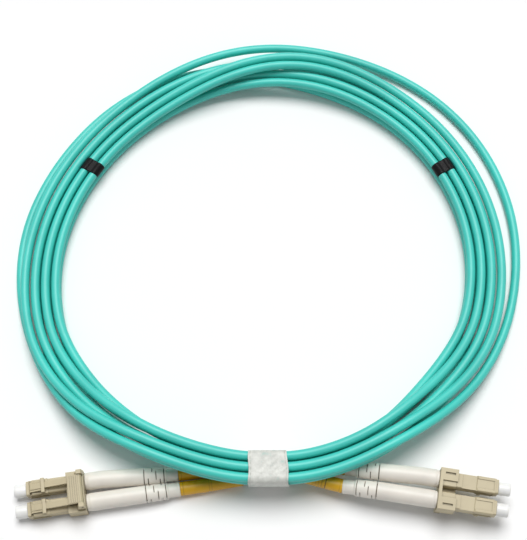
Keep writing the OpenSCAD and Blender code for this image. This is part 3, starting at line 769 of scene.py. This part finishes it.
class WrapSettings(bpy.types.PropertyGroup):
    tape_colour: bpy.props.FloatVectorProperty(
        name="Tape Colour", description="Colour of the tape",
        default=(0.64, 0.65, 0.605), **COLOUR,
    )
    tape_tint: bpy.props.FloatVectorProperty(
        name="Tape Tint", description="Colour that the jackets lend the tape",
        default=(0.43, 0.545, 0.495), **COLOUR,
    )
    band_colour: bpy.props.FloatVectorProperty(
        name="Band Colour", description="Colour of the bands",
        default=(0.003, 0.003, 0.0035), **COLOUR,
    )


class StageSettings(bpy.types.PropertyGroup):
    floor_colour: bpy.props.FloatVectorProperty(
        name="Floor Colour", description="Colour of the surface under the cord",
        default=(0.95, 0.95, 0.95), **COLOUR,
    )
    glow: bpy.props.FloatProperty(
        name="Floor Glow", description="Glow that the floor adds to its own white, to the camera",
        subtype="FACTOR", default=0.02, min=0, max=0.5,
    )
    fill: bpy.props.FloatProperty(
        name="Fill Light", description="Strength of the light from all round", default=0.24, min=0.1, max=0.6
    )
    elevation: bpy.props.FloatProperty(
        name="Camera Elevation", description="Camera angle over the surface", subtype="ANGLE",
        default=math.radians(68), min=math.radians(30), max=math.radians(90),
    )
    distance: bpy.props.FloatProperty(
        name="Camera Distance", description="Distance from the point it looks at", unit="LENGTH",
        default=0.4, min=0.2, max=1.0,
    )
    lens: bpy.props.FloatProperty(
        name="Lens", description="Focal length in millimetres", default=84.5, min=35, max=135
    )


# ---------------------------------------------------------------- operators
class PATCHCORD_OT_stage(bpy.types.Operator):
    """Makes the floor, the lights and the camera"""

    bl_idname = "patchcord.stage"
    bl_label = "Stage"

    def execute(self, context):
        settings = context.scene.patchcord_stage
        self.floor(settings)
        context.scene.world = studio_world("studio", settings.fill)
        lamp = bpy.data.lights.new("window", "SUN")
        lamp.energy = LAMP_ENERGY
        lamp.angle = LAMP_ANGLE
        window = bpy.data.objects.new("window", lamp)
        window.rotation_euler = LAMP_DIRECTION.to_track_quat("-Z", "Y").to_euler()
        context.collection.objects.link(window)
        camera = self.camera(settings)
        context.collection.objects.link(camera)
        context.scene.camera = camera
        context.scene.view_settings.view_transform = "Standard"
        return {"FINISHED"}

    @staticmethod
    def floor(settings):
        """A flat square just under the cord."""
        corners = [(-1, -1), (1, -1), (1, 1), (-1, 1)]
        low = cad_low.z / MM - FLOOR_GAP
        vertices = [(x * FLOOR_REACH, y * FLOOR_REACH, low) for x, y in corners]
        material = once("floor", floor_material, tuple(settings.floor_colour), settings.glow)
        return mesh_piece("floor", vertices, [(0, 1, 2, 3)], material)

    @staticmethod
    def camera(settings):
        """A camera that looks along +Y and down at the aim, from its distance."""
        camera = bpy.data.objects.new("camera", bpy.data.cameras.new("camera"))
        back = Vector((0, -math.cos(settings.elevation), math.sin(settings.elevation)))
        camera.location = CAMERA_AIM * MM + back * settings.distance
        camera.rotation_euler = (-back).to_track_quat("-Z", "Y").to_euler()
        camera.data.lens = settings.lens
        camera.data.clip_start = 0.01
        camera.data.clip_end = 20
        return camera


class PATCHCORD_OT_cords(bpy.types.Operator):
    """Makes the two cables, each from its left boot through the coil to its right boot"""

    bl_idname = "patchcord.cords"
    bl_label = "Cables"

    def execute(self, context):
        settings = context.scene.patchcord_cord
        material = once("aqua_jacket", jacket_material, tuple(settings.colour))
        for index, cable in enumerate(CABLES):
            line = cable_line(index)
            skin = swept(line, settings.diameter / MM / 2, settings.around)
            faces = tube_faces(len(line), settings.around)
            piece = mesh_piece(f"cable_{cable}", skin, faces, material)
            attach(piece, "cord")
            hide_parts(f"cable_{cable}_coil", f"left_{cable}_leg", f"right_{cable}_leg")
        return {"FINISHED"}


class PATCHCORD_OT_boots(bpy.types.Operator):
    """Makes the four boots, each with its stiff front, slotted zone and collar"""

    bl_idname = "patchcord.boots"
    bl_label = "Boots"

    FRONT = 0.06  # gap between the plug and the boot
    CRIMP_BORE_R = 2.0
    JACKET_BORE_R = 1.55
    MOUTH_R = 1.62
    SLOT_HALF_W = 0.14
    SLOT_DEPTH = 0.62
    # How much the radius changes.
    STIFF_TAPER = 0.06
    FLEX_TAPER = 0.12
    FRONT_ROUNDING = 0.17
    FRONT_STEP = 0.1
    END_RING = 0.08
    END_ROUNDING = 0.12

    def execute(self, context):
        settings = context.scene.patchcord_boot
        material = once("white_boot", boot_material, tuple(settings.colour))
        for side, index, cable in CHANNELS:
            piece = self.boot(side, index, f"{side}_{cable}_boot_skin", settings, material)
            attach(piece, "cord")
            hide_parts(f"{side}_{cable}_boot")
        return {"FINISHED"}

    def boot(self, side, index, name, settings, material):
        """Outside, the radius is a function of the distance d behind the plug and of the angle a round the
        boot. It tapers slowly behind a low front ring, steps down behind the flexible zone and swells at
        the end. The grid then turns in and runs back inside, and widens there for the crimp ring."""
        around = 96
        zone_end = BOOT_STIFF_L + FLEX_L
        d = np.concatenate([
            np.linspace(self.FRONT, 0.9, 8),
            np.linspace(1.5, BOOT_STIFF_L - 0.6, 22),
            np.arange(BOOT_STIFF_L - 0.5, zone_end + 0.7, 0.05),
            np.linspace(zone_end + 0.8, BOOT_L - 1, 9),
            np.linspace(BOOT_L - 0.9, BOOT_L, 19),
        ])
        body = settings.diameter / MM / 2 - self.STIFF_TAPER * d / BOOT_STIFF_L
        body = body - self.FRONT_ROUNDING * (1 - fade(d, 0.0, 0.35))
        body = body - self.FRONT_STEP * (1 - fade(d, 0.75, 0.9))
        body = body - self.FLEX_TAPER * fade(d, BOOT_STIFF_L, zone_end)
        collar = COLLAR_D / 2 + self.END_RING * fade(d, BOOT_L - 0.8, BOOT_L - 0.65)
        collar = collar - self.END_ROUNDING * fade(d, BOOT_L - 0.12, BOOT_L)
        r = body + (collar - body) * fade(d, zone_end + 0.1, zone_end + 0.6)
        depth, dark = self.slots(d, round_angles(around), settings.slots, index)
        bore = np.array([
            (self.FRONT, self.CRIMP_BORE_R), (CRIMP_END - 0.05, self.CRIMP_BORE_R),
            (CRIMP_END + 0.05, self.JACKET_BORE_R), (10.0, self.JACKET_BORE_R),
            (BOOT_L - 1.5, self.JACKET_BORE_R), (BOOT_L - 0.05, self.MOUTH_R),
        ])
        outside = swept(end_points(side, boot_axis(side, index, d)), r[:, None] - depth, around)
        inside = swept(end_points(side, boot_axis(side, index, bore[:, 0])), bore[:, 1:], around)
        dark = np.concatenate([dark, np.zeros((len(bore), around))])
        faces = grid_faces(len(d) + len(bore), around)
        return mesh_piece(name, np.concatenate([outside, inside[::-1]]), faces, material, dark)

    def slots(self, d, a, count, index):
        """Depth and darkness of the slots at distances d and angles a: a whole ring at each end of the
        flexible zone, and between them arcs that shift round the boot from one slot to the next. The darkness
        is painted shade for the slots' insides."""
        depth = dark = np.zeros((len(d), len(a)))
        first, last = BOOT_STIFF_L + 0.3, BOOT_STIFF_L + FLEX_L - 0.25
        for k, at in enumerate(np.linspace(first, last, count)):
            within = (self.SLOT_HALF_W - np.abs(d - at))[:, None]
            turn = a - math.pi / 2 - 1.1 * k - 0.5 * index
            arc = 1.0 if k in (0, count - 1) else fade(np.abs(np.cos(turn)), 0.8, 0.86)
            depth = depth + self.SLOT_DEPTH * fade(within, 0, 0.05) * arc
            dark = np.maximum(dark, fade(within, 0.01, 0.05) * arc)
        return depth, dark


class PATCHCORD_OT_markers(bpy.types.Operator):
    """Makes the four marker sleeves"""

    bl_idname = "patchcord.markers"
    bl_label = "Marker Sleeves"

    START = 0.05  # distance behind the boot
    JACKET_GAP = 0.05  # between the jacket and the inside
    END_ROUNDING = 0.1
    TAPER = 0.24  # how much the radius shrinks towards the coil
    GROOVE_DEPTH = 0.06
    # Ring lines of a sleeve: distance from its start, and how dark.
    RING_LINES = {
        "left": ((0.9, 0.25), (8.6, 0.2), (9.4, 0.2)),
        "right": ((0.9, 0.2), (5.2, 0.85), (6.3, 0.35), (7.2, 0.25), (8.1, 0.25)),
    }

    def execute(self, context):
        settings = context.scene.patchcord_marker
        material = once("golden_sleeve", marker_material, tuple(settings.colour))
        for side, index, cable in CHANNELS:
            piece = self.sleeve(side, index, f"{side}_{cable}_sleeve_skin", settings, material)
            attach(piece, "cord")
            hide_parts(f"{side}_{cable}_marker_sleeve")
        return {"FINISHED"}

    def sleeve(self, side, index, name, settings, material):
        """A tube along the straight line from the boot to the leg's route. The radius is a function of the
        distance s from its start: rounded at both ends, narrower towards the coil, with shallow ring lines.
        The profile then runs back inside, just clear of the jacket."""
        around = 48
        boot_end, route_start = leg_points(side, index)[2:4]
        along = unit(route_start - boot_end)
        across = unit(np.cross(UPRIGHT, along))
        length = SLEEVE_GAP + SLEEVE_L[side] + SLEEVE_TAIL[side]
        s = np.concatenate([np.arange(0, length, 0.1), [length]])
        r = settings.diameter / MM / 2 - self.END_ROUNDING * (1 - fade(s, 0, 0.25))
        r = r - self.END_ROUNDING * fade(s, length - 0.25, length)
        r = r - self.TAPER * fade(s, 0.35 * length, length)
        dark = np.zeros_like(s)
        for at, darkness in self.RING_LINES[side]:
            groove = fade(0.2 - np.abs(s - at), 0, 0.12)
            r = r - self.GROOVE_DEPTH * groove
            dark = np.maximum(dark, darkness * groove)
        s = np.append(s, [length, 0.0])
        r = np.append(r, [JACKET_D / 2 + self.JACKET_GAP] * 2)
        dark = np.append(dark, [0, 0])
        line = boot_end + (self.START + s)[:, None] * along
        skin = rings(line, r[:, None], across, np.cross(along, across), around)
        dark = np.repeat(dark[:, None], around, axis=1)
        return mesh_piece(name, skin, grid_faces(len(s), around), material, dark)


class PATCHCORD_OT_bands(bpy.types.Operator):
    """Makes the two black bands"""

    bl_idname = "patchcord.bands"
    bl_label = "Bands"

    INNER_GAP = 0.02  # between the jackets and the inside
    EDGE_RISE = 0.06  # of the outside over the jackets, at both ends
    WALL_RISE = 0.2  # how much further it rises between them
    RIDGE_RISE = 0.05
    RIDGE_PITCH = 0.375

    def execute(self, context):
        settings = context.scene.patchcord_wrap
        material = once("black_band", band_material, tuple(settings.band_colour))
        for side in SIDES:
            turn, angle = BAND_TURN_ANGLE[side]
            piece = self.band(f"{side}_band_skin", 360 * turn + angle, material)
            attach(piece, "cord")
            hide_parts(f"{side}_band")
        return {"FINISHED"}

    def band(self, name, at, material):
        """A ridged sleeve round two jackets. Along them, s runs from -1/2 to 1/2, and the wall rounds off
        at both ends."""
        around = 120
        s = np.linspace(-0.5, 0.5, 61)
        v = at + s * math.degrees(BAND_L / COIL_R)
        p, q = coil_point(0, v), coil_point(1, v)
        middle, out = (p + q) / 2, unit(q - p)
        half = np.linalg.norm(q - p, axis=1)[:, None] / 2
        up = np.cross(unit(np.gradient(middle, axis=0)), out)
        up *= np.sign(up[:, 2])[:, None]
        ridges = self.RIDGE_RISE * np.cos(math.pi * s * BAND_L / self.RIDGE_PITCH) ** 2
        rounding = np.sqrt(1 - (np.abs(s) / 0.5) ** 8)
        outer_r = (JACKET_D / 2 + self.EDGE_RISE + (self.WALL_RISE + ridges) * rounding)[:, None]
        inner_r = JACKET_D / 2 + self.INNER_GAP
        a = round_angles(around)
        outside = rings(middle, self.outline(outer_r, half, a), out, up, around)
        inside = rings(middle, self.outline(inner_r, half, a), out, up, around)
        faces = grid_faces(2 * len(s), around)
        return mesh_piece(name, np.concatenate([outside, inside[::-1]]), faces, material)

    @staticmethod
    def outline(r, half, a):
        """Reach in direction a of two circles of radius r at plus and minus half, over a core between them
        with flat sides a little within the circles' tops."""
        c, n = np.abs(np.cos(a)), np.abs(np.sin(a))
        circle = half * c + np.sqrt(np.clip(r**2 - (half * n) ** 2, 0, None))
        circle = np.where(half * n < r, circle, 0)
        core = np.minimum(0.86 * r / np.maximum(n, 1e-6), half / np.maximum(c, 1e-6))
        return np.maximum(circle, core)


class PATCHCORD_OT_tape(bpy.types.Operator):
    """Makes the tape wrap round the bundle"""

    bl_idname = "patchcord.tape"
    bl_label = "Tape Wrap"

    HALF_L = 5.75
    FILM = 0.14  # thickness
    SLANT = 0.085  # of the right edge
    LAP_RISE = 0.1
    HEM = 0.62  # distance of the hem lines from the edges
    HEM_DASHES = 26

    def execute(self, context):
        settings = context.scene.patchcord_wrap
        colour, tint = tuple(settings.tape_colour), tuple(settings.tape_tint)
        material = once("crinkled_tape", tape_material, colour, tint)
        piece = self.tape("tape_film", material)
        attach(piece, "cord")
        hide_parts("tape_wrap")
        return {"FINISHED"}

    def tape(self, name, material):
        """The loop round the bundle is swept along X between a wavy left edge and a slanting right one,
        crinkled by a few crossing waves, lapped over itself on one stretch and pressed in along dashed hem
        lines."""
        loop = self.loop()
        u = (np.arange(len(loop)) / len(loop))[:, None]
        right = self.HALF_L + np.clip(-loop[:, :1] * self.SLANT, -0.5, 0.5) - 0.15 * np.cos(6 * math.pi * u)
        left = -self.HALF_L + 0.12 * np.sin(10 * math.pi * u)
        x = left + np.linspace(0, 1, 81) * (right + self.HALF_L)
        crinkle = 0.05 * np.sin(9 * x + 14 * math.pi * u) * np.sin(5 * x - 26 * math.pi * u)
        crinkle += 0.04 * np.sin(2.3 * x + 38 * math.pi * u)
        lap = self.LAP_RISE * fade(u, 0.285, 0.29) * (1 - fade(u, 0.9, 0.95))
        from_edge = np.minimum(x - x[:, :1], x[:, -1:] - x)
        dashes = 0.35 + 0.65 * fade(np.sin(2 * math.pi * self.HEM_DASHES * u), -0.3, 0.3)
        hem = fade(0.16 - np.abs(from_edge - self.HEM), 0, 0.12) * dashes
        lift = 0.1 + 0.7 * crinkle + lap - 0.03 * hem
        outward = unit(loop - loop.mean(axis=0))[:, None, :]

        def layer(height):
            """The swept loop, moved outwards by a height, and kept off the surface below."""
            y, z = np.moveaxis(loop[:, None, :] + height[..., None] * outward, -1, 0)
            return np.stack([x, y, np.maximum(z, 0.01)], axis=-1)

        skin = np.concatenate([layer(lift), layer(lift - self.FILM)[:, ::-1]], axis=1)
        dark = np.concatenate([0.55 * hem, 0 * hem], axis=1)
        faces = [face[::-1] for face in grid_faces(len(loop), skin.shape[1])]
        return mesh_piece(name, skin, faces, material, dark)

    @staticmethod
    def loop():
        """The tight loop round ten jackets, as even points in Y and Z: in each direction the circle that
        reaches furthest gives the point."""
        sag = COIL_R * (1 - math.cos(STRAIGHT_ANGLE))
        rows = [TAPE_Z - JACKET_PITCH / 2, TAPE_Z + JACKET_PITCH / 2]
        upright = [(column * JACKET_PITCH + sag, z) for column in (-1, 0, 1) for z in rows]
        low = [(-0.5, RETURN_Z), (3.45, RETURN_Z), (-1.0, LEG_Z), (2.9, LEG_Z)]
        centres = np.array(upright + low)
        radii = np.array([1.68] * 8 + [1.65] * 2)
        a = np.linspace(0, 2 * math.pi, 721)
        ahead = np.stack([np.cos(a), np.sin(a)], axis=-1)
        furthest = np.argmax(ahead @ centres.T + radii, axis=1)
        loop = centres[furthest] + radii[furthest][:, None] * ahead
        return even_steps(loop, 0.22)[:-1]


class PATCHCORD_OT_caps(bpy.types.Operator):
    """Makes the four dust caps"""

    bl_idname = "patchcord.caps"
    bl_label = "Dust Caps"

    GAP = 0.1  # between the plug body and the cap
    OUTER_R = 1.98
    BORE_R = 0.66
    BORE_END = 2.9

    def execute(self, context):
        settings = context.scene.patchcord_plug
        material = once("cloudy_cap", cap_material, tuple(settings.cap_colour))
        for side, index, cable in CHANNELS:
            piece = self.cap(side, index, f"{side}_{cable}_cap_skin", material)
            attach(piece, f"{side}_{cable}_cap")
            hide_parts(f"{side}_{cable}_dust_cap")
        return {"FINISHED"}

    def cap(self, side, index, name, material):
        """A profile turned about the ferrule's axis: distance in front of the plug body and radius, point
        by point, from the bore's mouth over the outside to the dished front and back down the bore."""
        around = 56
        back, front, end = self.GAP, CAP_L + self.GAP, self.BORE_END
        profile = np.array([
            (back, self.BORE_R), (back, 1.2), (back, 1.82), (0.16, 1.93), (0.3, self.OUTER_R),
            (1.5, self.OUTER_R), (front - 0.9, 1.96), (front - 0.3, 1.94), (front - 0.1, 1.88),
            (front - 0.02, 1.74), (front, 1.55), (front - 0.03, 1.4), (front - 0.15, 1.28),
            (front - 0.3, 1.1), (front - 0.33, 0.6), (front - 0.33, 0.02), (end, 0.02), (end, 0.62),
            (end - 0.1, 0.655), (1.5, self.BORE_R),
        ])
        skin = rings(axis_points(index, BODY_L + profile[:, 0]), profile[:, 1:], (0, 1, 0), UPRIGHT, around)
        return mesh_piece(name, end_points(side, skin), grid_faces(len(profile), around), material)


class PATCHCORD_OT_springs(bpy.types.Operator):
    """Makes the four ferrule springs"""

    bl_idname = "patchcord.springs"
    bl_label = "Ferrule Springs"

    TURNS = 7
    END_GAP = 0.05

    def execute(self, context):
        steel = once("spring_wire", metal_material, (0.6, 0.6, 0.6), 0.3)
        for side, index, cable in CHANNELS:
            piece = self.spring(side, index, f"{side}_{cable}_spring_coil", steel)
            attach(piece, "cord")
            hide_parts(f"{side}_{cable}_spring")
            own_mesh(piece)
        return {"FINISHED"}

    def spring(self, side, index, name, material):
        """A round wire wound into a helix: at turn t the wire's middle is at angle t round the plug's axis,
        and its distance along the axis grows evenly with t, except over the first and the last turn, which
        lie almost closed. Each ring of the wire is centre + wire radius (cos a out + sin a along)."""
        per_turn, around = 28, 10
        turn = np.linspace(0, self.TURNS, self.TURNS * per_turn + 1)
        closed = SPRING_WIRE + 0.04
        reach = SPRING_FRONT - SPRING_BACK - SPRING_WIRE - 2 * self.END_GAP
        along = np.interp(turn, [0, 1, self.TURNS - 1, self.TURNS], [0, closed, reach - closed, reach])
        a = 2 * math.pi * turn
        out = np.stack([np.zeros_like(a), np.cos(a), np.sin(a)], axis=-1)
        start = SPRING_BACK + SPRING_WIRE / 2 + self.END_GAP
        centre = axis_points(index, start + along) + SPRING_R * out
        wire = rings(centre, SPRING_WIRE / 2, out, (1, 0, 0), around)
        faces = [face[::-1] for face in tube_faces(len(turn), around)]
        return mesh_piece(name, end_points(side, wire), faces, material)


class PATCHCORD_OT_plugs(bpy.types.Operator):
    """Finishes the moulded and the hidden parts of the plugs"""

    bl_idname = "patchcord.plugs"
    bl_label = "Plugs"

    def execute(self, context):
        settings = context.scene.patchcord_plug
        moulded = once("beige_plug", plug_material, tuple(settings.colour))
        for node in [f"{side}_{part}" for side in SIDES for part in ("clip", "trigger")]:
            give(node, moulded)
        ceramic = once("white_ceramic", ceramic_material, (0.88, 0.88, 0.85))
        nickel = once("nickel_flange", metal_material, (0.72, 0.71, 0.69), 0.28)
        brass = once("crimp_brass", metal_material, (0.65, 0.45, 0.18), 0.32)
        finishes = {
            "plug_body": moulded, "latch": moulded, "rear_body": moulded,
            "ferrule": ceramic, "ferrule_flange": nickel, "crimp_ring": brass,
        }
        for part, material in finishes.items():
            for side, _, cable in CHANNELS:
                give(f"{side}_{cable}_{part}", material)
        return {"FINISHED"}


class PATCHCORD_PT_panel(bpy.types.Panel):
    bl_label = "Patch Cord"
    bl_idname = "PATCHCORD_PT_panel"
    bl_space_type = "VIEW_3D"
    bl_region_type = "UI"
    bl_category = "Patch Cord"

    def draw(self, context):
        layout = self.layout
        for operator in OPERATORS:
            layout.operator(operator.bl_idname)
        for name in SETTINGS:
            group = getattr(context.scene, f"patchcord_{name}")
            box = layout.box()
            for prop in group.bl_rna.properties:
                if prop.identifier not in ("rna_type", "name"):
                    box.prop(group, prop.identifier)


OPERATORS = (
    PATCHCORD_OT_stage,
    PATCHCORD_OT_cords,
    PATCHCORD_OT_tape,
    PATCHCORD_OT_bands,
    PATCHCORD_OT_markers,
    PATCHCORD_OT_boots,
    PATCHCORD_OT_caps,
    PATCHCORD_OT_springs,
    PATCHCORD_OT_plugs,
)
SETTINGS = {
    "cord": CordSettings,
    "plug": PlugSettings,
    "boot": BootSettings,
    "marker": MarkerSettings,
    "wrap": WrapSettings,
    "stage": StageSettings,
}


def register():
    for name, group in SETTINGS.items():
        bpy.utils.register_class(group)
        setattr(bpy.types.Scene, f"patchcord_{name}", bpy.props.PointerProperty(type=group))
    for operator in OPERATORS:
        bpy.utils.register_class(operator)
    bpy.utils.register_class(PATCHCORD_PT_panel)


def unregister():
    bpy.utils.unregister_class(PATCHCORD_PT_panel)
    for operator in reversed(OPERATORS):
        bpy.utils.unregister_class(operator)
    for name, group in SETTINGS.items():
        delattr(bpy.types.Scene, f"patchcord_{name}")
        bpy.utils.unregister_class(group)


def main():
    """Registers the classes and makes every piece."""
    register()
    for operator in OPERATORS:
        area, name = operator.bl_idname.split(".")
        getattr(getattr(bpy.ops, area), name)()


if __name__ == "__main__":
    main()
